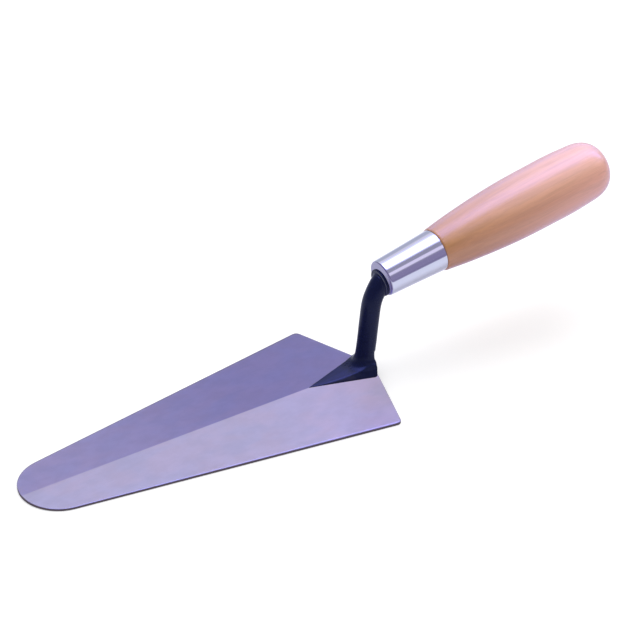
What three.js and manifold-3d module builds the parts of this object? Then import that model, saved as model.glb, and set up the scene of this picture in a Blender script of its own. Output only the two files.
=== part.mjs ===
// Gauging trowel: a round-nosed steel blade, a forged shank welded on its heel, a ferrule and a
// turned wood handle.
//
// Millimetres, +Z up. The flat underside of the blade lies on z = 0. X runs along the centreline,
// with the nose towards -X and the handle towards +X, and the blade is symmetric about y = 0.
// The origin is on the underside, below the foot of the shank.

import * as THREE from 'three';
import { mergeVertices } from 'three/addons/utils/BufferGeometryUtils.js';
import createManifold from 'manifold-3d';

const wasm = await createManifold();
wasm.setup();

// ---- Driving dimensions -------------------------------------------------------------------------

const BLADE_LENGTH = 178;          // 7 in, nose to the point of the heel
const BLADE_WIDTH = 85.7;          // 3 3/8 in, across the heel corners
const HEEL_POINT_X = 20;           // how far the point of the heel lies behind the origin
const HEEL_DEPTH = 14;             // the corners sit this far in front of the heel's point
const HEEL_CORNER_RADIUS = 2.5;
const HEEL_POINT_RADIUS = 4;
const NOSE_RADIUS = 18.7;
const EDGE_THICKNESS = 1.2;        // at the heel corners
const RIDGE_AT_HEEL = 2.6;         // thickness on the centreline
const RIDGE_AT_NOSE = 1.5;
const ROOF_MARGIN = 8;             // the block that shapes the blade's upper face overhangs it

const FOOT_TIP_X = -15.5;          // front tip of the triangular foot
const FOOT_HALF_WIDTH = 9.7;
const FOOT_HEEL_INSET = 0.4;       // the foot stops this far short of the heel edge
const FOOT_RIM = 0.3;              // upright rim of the foot above the blade
const FOOT_CORNER_RADIUS = 1.6;
const FOOT_TIP_RADIUS = 0.5;
const FOOT_FLANK_SLOPE = 1.4;      // rise of the steep flanks for each mm inwards
const FOOT_BENCH_AT_HEEL = 4.5;    // their height at the heel, less and less towards the tip
const FOOT_TOP_SLOPE = 0.04;       // rise of the top from the flanks to the centreline
const FOOT_CROWN_Z = 7;            // the foot is no higher than this
const FOOT_ROOT_Z = 1;             // the foot is drawn from inside the blade, then cut by it

const POST_RADIUS = 4.5;
const POST_BASE_X = 15.3;
const POST_BASE_Z = 7;
const POST_FLARE_RADIUS = 7.2;
const POST_FLARE_BASE_Z = 5.4;
const POST_FLARE_TOP_Z = 12;

const HANDLE_TILT = THREE.MathUtils.degToRad(10.3);
const FERRULE_FRONT_X = 23.4;
const FERRULE_FRONT_Z = 47.1;

// Distances along the handle's axis start at the front lip of the ferrule.
const COLLAR_RADIUS = 6.5;
const COLLAR_THICKNESS = 1.3;      // its back face bears on the ferrule's lip
const COLLAR_BEVEL = 0.3;
const COLLAR_DROP = 1.7;           // the collar sits this far below the handle's axis
const NECK_RADIUS = 4.7;
const NECK_SWELL = 0.8;            // the neck thickens over this length before the collar
const TANG_FRONT_SIDE = 5.0;       // square tang, tapering to its point
const TANG_POINT_SIDE = 2.6;
const TANG_END = 66;

const FERRULE_LENGTH = 30;
const FERRULE_FRONT_RADIUS = 8.5;
const FERRULE_MIDDLE_RADIUS = 9.15;
const FERRULE_BACK_RADIUS = 9.9;
const FERRULE_WALL = 0.9;
const FERRULE_MOUTH_RADIUS = 3.9;   // hole in the rolled-in front
const FERRULE_FACE_RADIUS = 7.6;    // flat part of that front
const FERRULE_LIP = 1.4;

const HANDLE_LENGTH = 97.1;        // visible wood, from the ferrule to the end of the dome
const DOME_LENGTH = 13.8;          // the blunt rounded end
const DOME_RADIUS = 14.3;
const FIT_GAP = 0.3;               // between parts that are driven together
const SPIGOT_START = 3;

const TURNED_SEGMENTS = 72;
const FOOT_STATIONS = 9;

// ---- Materials ----------------------------------------------------------------------------------

const bladeSteel = new THREE.MeshStandardMaterial({ color: 0xaaa2c4, roughness: 0.38, metalness: 1 });
const blackPaint = new THREE.MeshStandardMaterial({ color: 0x16161f, roughness: 0.3, metalness: 0 });
const chrome = new THREE.MeshStandardMaterial({ color: 0xdcdde6, roughness: 0.12, metalness: 1 });
const varnishedWood = new THREE.MeshStandardMaterial({ color: 0xc29070, roughness: 0.35, metalness: 0 });

// ---- Solids -------------------------------------------------------------------------------------

function toSolid(geometry) {
  const bare = geometry.clone();
  bare.deleteAttribute('normal');
  bare.deleteAttribute('uv');
  const merged = mergeVertices(bare, 1e-4);
  return new wasm.Manifold(new wasm.Mesh({
    numProp: 3,
    vertProperties: new Float32Array(merged.attributes.position.array),
    triVerts: new Uint32Array(merged.index.array),
  }));
}

function toGeometry(solid) {
  const mesh = solid.getMesh();
  const geometry = new THREE.BufferGeometry();
  geometry.setAttribute('position', new THREE.BufferAttribute(mesh.vertProperties, 3));
  geometry.setIndex(new THREE.BufferAttribute(mesh.triVerts, 1));
  geometry.computeVertexNormals();
  return geometry;
}

function named(name, geometry, material) {
  const mesh = new THREE.Mesh(geometry, material);
  mesh.name = name;
  return mesh;
}

// A convex solid round a handful of points, each an [x, y, z].
function hullOf(points) {
  return wasm.Manifold.hull(points);
}

// Lathe profiles are drawn as (radius, distance) and turned about the handle's axis, local +X.
function turned(profile) {
  const geometry = new THREE.LatheGeometry(profile, TURNED_SEGMENTS);
  geometry.rotateZ(-Math.PI / 2);
  return geometry;
}

// Moves a geometry drawn along the handle's axis to where the handle is.
function placeOnHandleAxis(geometry) {
  geometry.rotateY(-HANDLE_TILT);
  geometry.translate(FERRULE_FRONT_X, 0, FERRULE_FRONT_Z);
  return geometry;
}

// A polygon in plan whose corners are rounded, each by its own radius.
function roundedOutline(corners) {
  const shape = new THREE.Shape();
  corners.forEach(({ at, radius }, i) => {
    const before = corners[(i + corners.length - 1) % corners.length].at;
    const after = corners[(i + 1) % corners.length].at;
    const toBefore = before.clone().sub(at).normalize();
    const toAfter = after.clone().sub(at).normalize();
    const halfAngle = toBefore.angleTo(toAfter) / 2;
    const setback = radius / Math.tan(halfAngle);
    const start = at.clone().addScaledVector(toBefore, setback);
    const end = at.clone().addScaledVector(toAfter, setback);
    if (i === 0) {
      shape.moveTo(start.x, start.y);
    } else {
      shape.lineTo(start.x, start.y);
    }
    shape.quadraticCurveTo(at.x, at.y, end.x, end.y);
  });
  shape.closePath();
  return shape;
}

// ---- Blade --------------------------------------------------------------------------------------

// Outline in plan: the V of the heel, two straight sides, and the round nose tangent to them.
function bladeOutline() {
  const halfWidth = BLADE_WIDTH / 2;
  const cornerX = HEEL_POINT_X - HEEL_DEPTH;
  const noseX = HEEL_POINT_X - BLADE_LENGTH + NOSE_RADIUS;
  const run = cornerX - noseX;
  const toCorner = Math.atan2(halfWidth, run);
  const tangentAngle = toCorner + Math.acos(NOSE_RADIUS / Math.hypot(run, halfWidth));
  const tangentX = noseX + NOSE_RADIUS * Math.cos(tangentAngle);
  const tangentY = NOSE_RADIUS * Math.sin(tangentAngle);

  const side = new THREE.Vector2(cornerX - tangentX, halfWidth - tangentY).normalize();
  const heel = new THREE.Vector2(HEEL_DEPTH, -halfWidth).normalize();
  const corner = new THREE.Vector2(cornerX, halfWidth);
  const onSide = corner.clone().addScaledVector(side, -HEEL_CORNER_RADIUS);
  const onHeel = corner.clone().addScaledVector(heel, HEEL_CORNER_RADIUS);
  const point = new THREE.Vector2(HEEL_POINT_X, 0);
  const beforePoint = point.clone().addScaledVector(heel, -HEEL_POINT_RADIUS);

  const shape = new THREE.Shape();
  shape.moveTo(tangentX, -tangentY);
  shape.lineTo(onSide.x, -onSide.y);
  shape.quadraticCurveTo(corner.x, -corner.y, onHeel.x, -onHeel.y);
  shape.lineTo(beforePoint.x, -beforePoint.y);
  shape.quadraticCurveTo(point.x, point.y, beforePoint.x, beforePoint.y);
  shape.lineTo(onHeel.x, onHeel.y);
  shape.quadraticCurveTo(corner.x, corner.y, onSide.x, onSide.y);
  shape.lineTo(tangentX, tangentY);
  shape.absarc(noseX, 0, NOSE_RADIUS, tangentAngle, 2 * Math.PI - tangentAngle, false);
  return shape;
}

// Height of the blade's upper face: two flat halves that fall away from a ridge on the centreline.
const RIDGE_SLOPE = (RIDGE_AT_HEEL - RIDGE_AT_NOSE) / BLADE_LENGTH;
const RIDGE_AT_CORNERS = RIDGE_AT_HEEL - RIDGE_SLOPE * HEEL_DEPTH;
const FALL_PER_MM = (RIDGE_AT_CORNERS - EDGE_THICKNESS) / (BLADE_WIDTH / 2);

function bladeTopZ(x, y) {
  return RIDGE_AT_HEEL + RIDGE_SLOPE * (x - HEEL_POINT_X) - FALL_PER_MM * Math.abs(y);
}

// A roof-shaped block, larger than the blade in plan, whose upper faces are the blade's.
function bladeRoof() {
  const reach = BLADE_WIDTH / 2 + ROOF_MARGIN;
  const ends = [HEEL_POINT_X + ROOF_MARGIN, HEEL_POINT_X - BLADE_LENGTH - ROOF_MARGIN];
  const points = [];
  for (const x of ends) {
    for (const y of [-reach, 0, reach]) {
      points.push([x, y, bladeTopZ(x, y)]);
      points.push([x, y, 0]);
    }
  }
  return hullOf(points);
}

function bladeSolid() {
  const blank = new THREE.ExtrudeGeometry(bladeOutline(), {
    depth: RIDGE_AT_HEEL,
    bevelEnabled: false,
    curveSegments: 24,
  });
  return toSolid(blank).intersect(bladeRoof());
}

// ---- Shank --------------------------------------------------------------------------------------

// Plan of the foot: a long triangle whose back follows the V of the heel.
function footOutline() {
  const heelX = HEEL_POINT_X - FOOT_HEEL_INSET;
  const cornerX = heelX - HEEL_DEPTH * FOOT_HALF_WIDTH / (BLADE_WIDTH / 2);
  return roundedOutline([
    { at: new THREE.Vector2(FOOT_TIP_X, 0), radius: FOOT_TIP_RADIUS },
    { at: new THREE.Vector2(cornerX, -FOOT_HALF_WIDTH), radius: FOOT_CORNER_RADIUS },
    { at: new THREE.Vector2(heelX, 0), radius: HEEL_POINT_RADIUS },
    { at: new THREE.Vector2(cornerX, FOOT_HALF_WIDTH), radius: FOOT_CORNER_RADIUS },
  ]);
}

// Section of the foot at a station: upright rim, two steep flanks, and a top with a slight ridge.
function footSection(x) {
  const cornerX = HEEL_POINT_X - FOOT_HEEL_INSET - HEEL_DEPTH * FOOT_HALF_WIDTH / (BLADE_WIDTH / 2);
  const t = (x - FOOT_TIP_X) / (cornerX - FOOT_TIP_X);
  const halfWidth = FOOT_HALF_WIDTH * t;
  const rimZ = bladeTopZ(x, halfWidth) + FOOT_RIM;
  const benchZ = Math.min(rimZ + FOOT_BENCH_AT_HEEL * t ** 1.8, FOOT_CROWN_Z);
  const benchY = Math.max(halfWidth - (benchZ - rimZ) / FOOT_FLANK_SLOPE, 0);
  const ridgeZ = Math.min(benchZ + FOOT_TOP_SLOPE * benchY, FOOT_CROWN_Z);
  return [
    [x, 0, ridgeZ],
    ...[-1, 1].flatMap((side) => [
      [x, side * halfWidth, FOOT_ROOT_Z],
      [x, side * halfWidth, rimZ],
      [x, side * benchY, benchZ],
    ]),
  ];
}

// The foot: low at the tip and rising steeply at the heel, cut to the outline in plan.
function footWedge() {
  const stations = [];
  const last = HEEL_POINT_X + 1;
  for (let i = 0; i <= FOOT_STATIONS; i += 1) {
    stations.push(footSection(THREE.MathUtils.lerp(FOOT_TIP_X, last, i / FOOT_STATIONS)));
  }
  const pieces = stations.slice(1).map((section, i) => hullOf([...stations[i], ...section]));
  return pieces.reduce((whole, piece) => whole.add(piece)).intersect(footPrism());
}

function footPrism() {
  return toSolid(new THREE.ExtrudeGeometry(footOutline(), {
    depth: POST_FLARE_TOP_Z + 1,
    bevelEnabled: false,
  }));
}

// The concave flare where the post grows out of the foot, cut to the foot's outline in plan.
function postFlare() {
  const curve = new THREE.QuadraticBezierCurve(
    new THREE.Vector2(POST_FLARE_RADIUS, POST_FLARE_BASE_Z),
    new THREE.Vector2(POST_RADIUS + 0.4, POST_BASE_Z),
    new THREE.Vector2(POST_RADIUS, POST_FLARE_TOP_Z),
  );
  const profile = [
    new THREE.Vector2(0, FOOT_ROOT_Z),
    new THREE.Vector2(POST_FLARE_RADIUS, FOOT_ROOT_Z),
    ...curve.getPoints(8),
    new THREE.Vector2(0, POST_FLARE_TOP_Z),
  ];
  const flare = new THREE.LatheGeometry(profile, 48);
  flare.rotateX(Math.PI / 2);
  flare.translate(POST_BASE_X, 0, 0);
  return toSolid(flare).intersect(footPrism());
}

// A point on the handle's axis, lowered square to it by drop.
function onHandleAxis(distance, drop) {
  const point = new THREE.Vector3(distance, 0, -drop);
  point.applyAxisAngle(new THREE.Vector3(0, 1, 0), -HANDLE_TILT);
  return point.add(new THREE.Vector3(FERRULE_FRONT_X, 0, FERRULE_FRONT_Z));
}

// The round post rises from the foot, leans back slightly and bends up into the collar.
function postTube() {
  const path = new THREE.CatmullRomCurve3([
    new THREE.Vector3(POST_BASE_X, 0, POST_BASE_Z),
    new THREE.Vector3(16.4, 0, 17),
    new THREE.Vector3(17.4, 0, 27.5),
    new THREE.Vector3(18.6, 0, 36.5),
    new THREE.Vector3(20.5, 0, 41.3),
    onHandleAxis(-COLLAR_THICKNESS / 2, COLLAR_DROP),
    onHandleAxis(COLLAR_THICKNESS, COLLAR_DROP / 2),
  ]);
  const section = new THREE.Shape();
  section.absarc(0, 0, POST_RADIUS, 0, 2 * Math.PI);
  return toSolid(new THREE.ExtrudeGeometry(section, {
    steps: 36,
    curveSegments: 16,
    extrudePath: path,
  }));
}

// The collar that bears on the front of the ferrule, and the thicker neck just before it.
function collar() {
  const profile = [
    new THREE.Vector2(0, -COLLAR_THICKNESS - NECK_SWELL),
    new THREE.Vector2(POST_RADIUS, -COLLAR_THICKNESS - NECK_SWELL),
    new THREE.Vector2(NECK_RADIUS, -COLLAR_THICKNESS),
    new THREE.Vector2(COLLAR_RADIUS - COLLAR_BEVEL, -COLLAR_THICKNESS),
    new THREE.Vector2(COLLAR_RADIUS, COLLAR_BEVEL - COLLAR_THICKNESS),
    new THREE.Vector2(COLLAR_RADIUS, 0),
    new THREE.Vector2(0, 0),
  ];
  const disc = turned(profile);
  disc.translate(0, 0, -COLLAR_DROP);
  return toSolid(placeOnHandleAxis(disc));
}

// A square bar that tapers to the tang's point, grown on every side by extra.
function tangBar(start, extra) {
  const halfDiagonal = Math.SQRT1_2;
  const length = TANG_END + extra - start;
  const bar = new THREE.CylinderGeometry(
    (TANG_POINT_SIDE + 2 * extra) * halfDiagonal,
    (TANG_FRONT_SIDE + 2 * extra) * halfDiagonal,
    length,
    4,
  );
  bar.rotateY(Math.PI / 4);
  bar.translate(0, start + length / 2, 0);
  bar.rotateZ(-Math.PI / 2);
  return bar;
}

// Everything but the tang stays in front of the ferrule.
function shankSolid(blade) {
  const axis = new THREE.Vector3(1, 0, 0).applyAxisAngle(new THREE.Vector3(0, 1, 0), -HANDLE_TILT);
  const reach = axis.dot(onHandleAxis(0, 0));
  const outside = footWedge().add(postFlare()).add(postTube()).add(collar());
  const tang = toSolid(placeOnHandleAxis(tangBar(-COLLAR_THICKNESS / 2, 0)));
  return outside.trimByPlane([-axis.x, 0, -axis.z], -reach).add(tang).subtract(blade);
}

// ---- Ferrule and handle, both drawn along the handle's axis -----------------------------------------

function ferruleRadius(distance) {
  const half = FERRULE_LENGTH / 2;
  return distance < half
    ? THREE.MathUtils.mapLinear(distance, 0, half, FERRULE_FRONT_RADIUS, FERRULE_MIDDLE_RADIUS)
    : THREE.MathUtils.mapLinear(distance, half, FERRULE_LENGTH, FERRULE_MIDDLE_RADIUS, FERRULE_BACK_RADIUS);
}

// A thin tapered tube whose front is rolled in to a face with a hole for the tang.
function ferruleGeometry() {
  const profile = new THREE.Path();
  const half = FERRULE_LENGTH / 2;
  const boreAt = (distance) => ferruleRadius(distance) - FERRULE_WALL;
  profile.moveTo(FERRULE_MOUTH_RADIUS, FERRULE_WALL);
  profile.lineTo(FERRULE_MOUTH_RADIUS, 0);
  profile.lineTo(FERRULE_FACE_RADIUS, 0);
  profile.quadraticCurveTo(FERRULE_FRONT_RADIUS, 0, ferruleRadius(FERRULE_LIP), FERRULE_LIP);
  profile.lineTo(ferruleRadius(half), half);
  profile.lineTo(FERRULE_BACK_RADIUS, FERRULE_LENGTH);
  profile.lineTo(boreAt(FERRULE_LENGTH), FERRULE_LENGTH);
  profile.lineTo(boreAt(half), half);
  profile.lineTo(boreAt(FERRULE_LIP), FERRULE_LIP);
  profile.lineTo(FERRULE_FACE_RADIUS - FERRULE_WALL, FERRULE_WALL);
  profile.closePath();
  return turned(profile.getPoints(5));
}

// Half section of the handle: spigot, shoulder, long swelling grip and a blunt domed end.
function handleProfile() {
  const shoulder = FERRULE_LENGTH + FIT_GAP;
  const end = shoulder + HANDLE_LENGTH - FIT_GAP;
  const spigotAt = (distance) => ferruleRadius(distance) - FERRULE_WALL - FIT_GAP;
  const half = FERRULE_LENGTH / 2;
  const dome = end - DOME_LENGTH;
  const grip = new THREE.SplineCurve([
    new THREE.Vector2(10.5, shoulder + 0.6),
    new THREE.Vector2(12.1, shoulder + 13),
    new THREE.Vector2(13.6, shoulder + 28.5),
    new THREE.Vector2(14.5, shoulder + 43),
    new THREE.Vector2(14.8, shoulder + 60),
    new THREE.Vector2(14.85, shoulder + 72),
    new THREE.Vector2(DOME_RADIUS, dome),
  ]);
  const roundEnd = new THREE.CubicBezierCurve(
    new THREE.Vector2(DOME_RADIUS, dome),
    new THREE.Vector2(DOME_RADIUS - 0.4, end - DOME_LENGTH / 3),
    new THREE.Vector2(DOME_RADIUS * 0.74, end),
    new THREE.Vector2(0, end),
  );
  return [
    new THREE.Vector2(0, SPIGOT_START),
    new THREE.Vector2(spigotAt(SPIGOT_START), SPIGOT_START),
    new THREE.Vector2(spigotAt(half), half),
    new THREE.Vector2(spigotAt(shoulder), shoulder),
    new THREE.Vector2(10, shoulder),
    ...grip.getPoints(30),
    ...roundEnd.getPoints(14).slice(1),
  ];
}

function handleGeometry() {
  const tangHole = toSolid(tangBar(SPIGOT_START - 1, FIT_GAP));
  return toGeometry(toSolid(turned(handleProfile())).subtract(tangHole));
}

// ---- Assembly -----------------------------------------------------------------------------------

function buildTrowel() {
  const trowel = new THREE.Group();
  const blade = bladeSolid();
  trowel.add(named('blade', toGeometry(blade), bladeSteel));
  trowel.add(named('shank', toGeometry(shankSolid(blade)), blackPaint));

  const grip = new THREE.Group();
  grip.position.set(FERRULE_FRONT_X, 0, FERRULE_FRONT_Z);
  grip.rotation.y = -HANDLE_TILT;
  grip.add(named('ferrule', ferruleGeometry(), chrome));
  grip.add(named('handle', handleGeometry(), varnishedWood));
  trowel.add(grip);
  return trowel;
}

export default buildTrowel();
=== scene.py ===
"""Looks of the gauging trowel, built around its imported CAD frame.

The frame is the part's own, +Z up: the flat underside of the blade lies on z = 0, the nose points
to -X and the handle to +X. Lengths are in millimetres unless a comment says metres, and MM turns
them into the metres Blender works in. Distances along the handle start at the front face of the
ferrule. Each of the four CAD nodes is replaced by a finer mesh with the same dimensions.
"""

import math

import bpy
import numpy as np
from mathutils import Matrix, Vector


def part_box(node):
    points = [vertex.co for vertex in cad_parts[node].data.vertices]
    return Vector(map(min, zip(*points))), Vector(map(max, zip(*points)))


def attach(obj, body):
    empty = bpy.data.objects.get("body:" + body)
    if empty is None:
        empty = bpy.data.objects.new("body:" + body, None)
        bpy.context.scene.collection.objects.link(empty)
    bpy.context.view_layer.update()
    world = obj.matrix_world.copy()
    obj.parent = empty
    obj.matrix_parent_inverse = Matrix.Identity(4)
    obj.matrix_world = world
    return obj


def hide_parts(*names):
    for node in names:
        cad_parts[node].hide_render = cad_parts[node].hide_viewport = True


MM = 0.001

# ---- Dimensions ----------------------------------------------------------------------------------

BLADE_LENGTH = 178.0
BLADE_WIDTH = 85.7
HEEL_POINT_X = 20.0
HEEL_DEPTH = 14.0                 # how far the heel's corners lie ahead of its point
HEEL_CORNER_EASE = 2.5            # how much of each side the rounding of a corner takes up
HEEL_POINT_EASE = 4.0
NOSE_RADIUS = 18.7
EDGE_THICKNESS = 1.2              # at the heel's corners
RIDGE_AT_HEEL = 2.6
RIDGE_AT_NOSE = 1.5
RIDGE_EASE = 0.25                 # half width over which the ridge is worn round
RIDGE_EASE_AT_NOSE = 3.5
RIDGE_WORN_X = -105.0             # it widens from here to the nose
EDGE_BREAK = 0.12                 # the blade's arrises are eased by this much

FOOT_TIP_X = -15.5
FOOT_HALF_WIDTH = 9.7
FOOT_HEEL_INSET = 0.4             # from the heel of the blade
FOOT_RIM = 0.3                    # height of the upright rim round the foot
FOOT_CORNER_RADIUS = 1.6
FOOT_POINT_EASE = 0.6             # rounds the point of the foot's back
FOOT_FLANK_SLOPE = 1.4            # rise for each millimetre inwards
FOOT_BENCH_AT_HEEL = 4.5          # how high the flanks rise there
FOOT_BENCH_POWER = 1.8            # how they grow from the tip to the heel
FOOT_TOP_SLOPE = 0.04
FOOT_CROWN_Z = 7.0                # the flat top, at its highest
FOOT_SUNK = 0.3                   # the foot is bedded this far into the blade
FOOT_ARRIS = 0.5                  # how softly its faces meet

POST_RADIUS = 4.5
POST_BASE_X = 15.3
POST_BASE_Z = 7.0
POST_BEND = ((16.4, 17.0), (17.4, 27.5), (18.6, 36.5), (20.5, 41.3))  # x and z of its centreline
POST_FLARE_RADIUS = 7.2
POST_FLARE_BASE_Z = 5.4
POST_FLARE_TOP_Z = 12.0
POST_FLARE_POWER = 2.8            # how quickly the flare narrows upwards
POST_FLARE_TRIM = 0.4             # how softly the foot's outline trims the flare
POST_BLEND = 1.6                  # fillet between the post and the foot

HANDLE_TILT = math.radians(10.3)
HANDLE_COS, HANDLE_SIN = math.cos(HANDLE_TILT), math.sin(HANDLE_TILT)
FERRULE_FRONT = (23.4, 47.1)      # x and z of the centre of the ferrule's front face
COLLAR_RADIUS = 6.5
COLLAR_THICKNESS = 1.3
COLLAR_DROP = 1.7                 # its centre lies this far below the handle's axis
COLLAR_ROUNDING = 0.25
COLLAR_BLEND = 0.5                # fillet between the neck and the collar
COLLAR_SEAT = 0.15                # how softly its back is cut flat against the ferrule
NECK_RADIUS = 4.7                 # the post swells to this at the collar
NECK_SWELL = 0.8                  # over this length
NECK_SWELL_POWER = 1.5
TANG_FRONT_SIDE = 5.0
TANG_POINT_SIDE = 2.6
TANG_END = 66.0
TANG_ROUNDING = 0.4

FERRULE_LENGTH = 30.0
FERRULE_FRONT_RADIUS = 8.5
FERRULE_MIDDLE_RADIUS = 9.15
FERRULE_BACK_RADIUS = 9.9
FERRULE_WALL = 0.9
FERRULE_MOUTH_RADIUS = 3.9        # the hole in the front face
FERRULE_MOUTH_BREAK = 0.12
FERRULE_FACE_RADIUS = 7.6         # the flat of the front face
FERRULE_LIP = 1.4                 # length of the rolled edge round it
FERRULE_BACK_EASE = 0.25

FIT_GAP = 0.3                     # round the spigot and past the end of the tang
SHOULDER_GAP = 0.1                # the shoulder all but touches the ferrule
SHOULDER_RADIUS = 9.8             # of its flat face, which then rounds over to the grip
SHOULDER_CORNER_RADIUS = 10.35
GRIP_FRONT = (1.2, 10.55)         # distance behind the shoulder and radius, as in the swell below
GRIP_SWELL = ((13.0, 12.1), (28.5, 13.6), (43.0, 14.5), (60.0, 14.8), (72.0, 14.84))
SPIGOT_START = 3.0
HANDLE_END = FERRULE_LENGTH + 97.08
DOME_LENGTH = 13.8
DOME_RADIUS = 14.3
HOLE_RADIUS = 4.1                 # blind hole in the spigot, at its mouth and at its end
HOLE_END_RADIUS = 2.4

SKIN_STEP = 0.3                   # grid on which the shank's surface is found
SKIN_FINE_BELOW_Z = 5.5           # three times finer upright below this, for the foot's thin rim
LATHE_SEAM_ANGLE = math.radians(38)
BLADE_SEAM_ANGLE = math.radians(30)

# ---- Small helpers -------------------------------------------------------------------------------


def lerp(a, b, t):
    return a + (b - a) * t


def make_object(name, points, faces):
    """A smooth-shaded mesh object from points in millimetres."""
    mesh = bpy.data.meshes.new(name)
    mesh.from_pydata([tuple(p) for p in np.asarray(points, float) * MM], [], faces)
    mesh.validate()
    mesh.update()
    piece = bpy.data.objects.new(name, mesh)
    bpy.context.scene.collection.objects.link(piece)
    mesh.shade_smooth()
    return piece


def place_on_handle_axis(distance, y, z):
    """A point drawn with the handle lying along +X, moved to where the handle is."""
    return (
        FERRULE_FRONT[0] + distance * HANDLE_COS - z * HANDLE_SIN,
        y,
        FERRULE_FRONT[1] + distance * HANDLE_SIN + z * HANDLE_COS,
    )


def lathe(name, profile, segments):
    """Turns (distance, radius) points about the handle's axis. Points of radius 0 become poles."""
    points, faces, rings = [], [], []
    for distance, radius in profile:
        if radius < 1e-6:
            rings.append([len(points)] * segments)
            points.append(place_on_handle_axis(distance, 0, 0))
            continue
        rings.append(list(range(len(points), len(points) + segments)))
        for i in range(segments):
            angle = 2 * math.pi * i / segments
            across = radius * math.cos(angle), radius * math.sin(angle)
            points.append(place_on_handle_axis(distance, *across))
    for a, b in zip(rings, rings[1:]):
        for i in range(segments):
            j = (i + 1) % segments
            corners = [a[i], a[j], b[j], b[i]]
            faces.append([c for k, c in enumerate(corners) if c != corners[k - 1]])
    return make_object(name, points, faces)


def bezier(points, steps):
    """Points on a Bezier curve of any degree, both ends included."""
    out = []
    for i in range(steps + 1):
        t = i / steps
        level = [np.array(p, float) for p in points]
        while len(level) > 1:
            level = [lerp(a, b, t) for a, b in zip(level, level[1:])]
        out.append(tuple(level[0]))
    return out


def between(a, b, low, high, t):
    """The point at t on a line that passes a at low and b at high."""
    return ((high - t) * a + (t - low) * b) / (high - low)


def catmull_rom(points, steps):
    """A centripetal Catmull-Rom curve through the points."""
    pts = [np.array(p, float) for p in points]
    pts = [2 * pts[0] - pts[1]] + pts + [2 * pts[-1] - pts[-2]]
    out = []
    for k in range(1, len(pts) - 2):
        p = pts[k - 1:k + 3]
        knots = [0.0]
        for a, b in zip(p, p[1:]):
            knots.append(knots[-1] + np.linalg.norm(b - a) ** 0.5)
        last = k == len(pts) - 3
        for i in range(steps + (1 if last else 0)):
            t = lerp(knots[1], knots[2], i / steps)
            lines = [between(p[m], p[m + 1], knots[m], knots[m + 1], t) for m in range(3)]
            arcs = [between(lines[m], lines[m + 1], knots[m], knots[m + 2], t) for m in range(2)]
            out.append(tuple(between(*arcs, knots[1], knots[2], t)))
    return out


# ---- Blade ---------------------------------------------------------------------------------------

RIDGE_SLOPE = (RIDGE_AT_HEEL - RIDGE_AT_NOSE) / BLADE_LENGTH
RIDGE_FALL = (RIDGE_AT_HEEL - RIDGE_SLOPE * HEEL_DEPTH - EDGE_THICKNESS) / (BLADE_WIDTH / 2)


def blade_top(x, y):
    return RIDGE_AT_HEEL + RIDGE_SLOPE * (x - HEEL_POINT_X) - RIDGE_FALL * abs(y)


def worn_top(x, y):
    """The upper face with its ridge worn round, slightly along the blade and more at the nose."""
    t = min(max((RIDGE_WORN_X - x) / (RIDGE_WORN_X + BLADE_LENGTH - HEEL_POINT_X), 0), 1)
    ease = lerp(RIDGE_EASE, RIDGE_EASE_AT_NOSE, t * t)
    away = math.hypot(y, ease) - 0.5 * ease * math.exp(-abs(y) / ease)
    return blade_top(x, 0) - RIDGE_FALL * away


def half_outline():
    """Plan outline of the +Y half, from the tip of the nose to the point of the heel."""
    half_width = BLADE_WIDTH / 2
    corner_x = HEEL_POINT_X - HEEL_DEPTH
    nose_x = HEEL_POINT_X - BLADE_LENGTH + NOSE_RADIUS
    run = corner_x - nose_x
    tangent = math.atan2(half_width, run) + math.acos(NOSE_RADIUS / math.hypot(run, half_width))
    nose_steps, side_steps, heel_steps = 64, 60, 24
    points = []
    for i in range(nose_steps + 1):
        angle = lerp(math.pi, tangent, i / nose_steps)
        points.append((nose_x + NOSE_RADIUS * math.cos(angle), NOSE_RADIUS * math.sin(angle)))
    start = np.array(points[-1])
    corner = np.array([corner_x, half_width])
    side = (corner - start) / np.linalg.norm(corner - start)
    heel = np.array([HEEL_DEPTH, -half_width])
    heel = heel / np.linalg.norm(heel)
    on_side = corner - side * HEEL_CORNER_EASE
    on_heel = corner + heel * HEEL_CORNER_EASE
    for i in range(1, side_steps):
        points.append(tuple(lerp(start, on_side, i / side_steps)))
    points += bezier([on_side, corner, on_heel], 10)
    heel_point = np.array([HEEL_POINT_X, 0.0])
    before = heel_point - heel * HEEL_POINT_EASE
    after = before * np.array([1, -1])
    for i in range(1, heel_steps):
        points.append(tuple(lerp(on_heel, before, i / heel_steps)))
    points += bezier([before, heel_point, after], 12)[:7]  # up to the centreline
    points[-1] = (points[-1][0], 0.0)
    points[0] = (points[0][0], 0.0)
    return points


def inward(outline, distance):
    """The outline moved in by distance, for the +Y half."""
    pts = np.array(outline)
    mirrored = pts * np.array([1, -1])
    before = np.vstack([mirrored[1:2], pts[:-1]])
    after = np.vstack([pts[1:], mirrored[-2:-1]])
    along = after - before
    along /= np.linalg.norm(along, axis=1)[:, None]
    return pts + np.stack([along[:, 1], -along[:, 0]], axis=1) * distance


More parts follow.
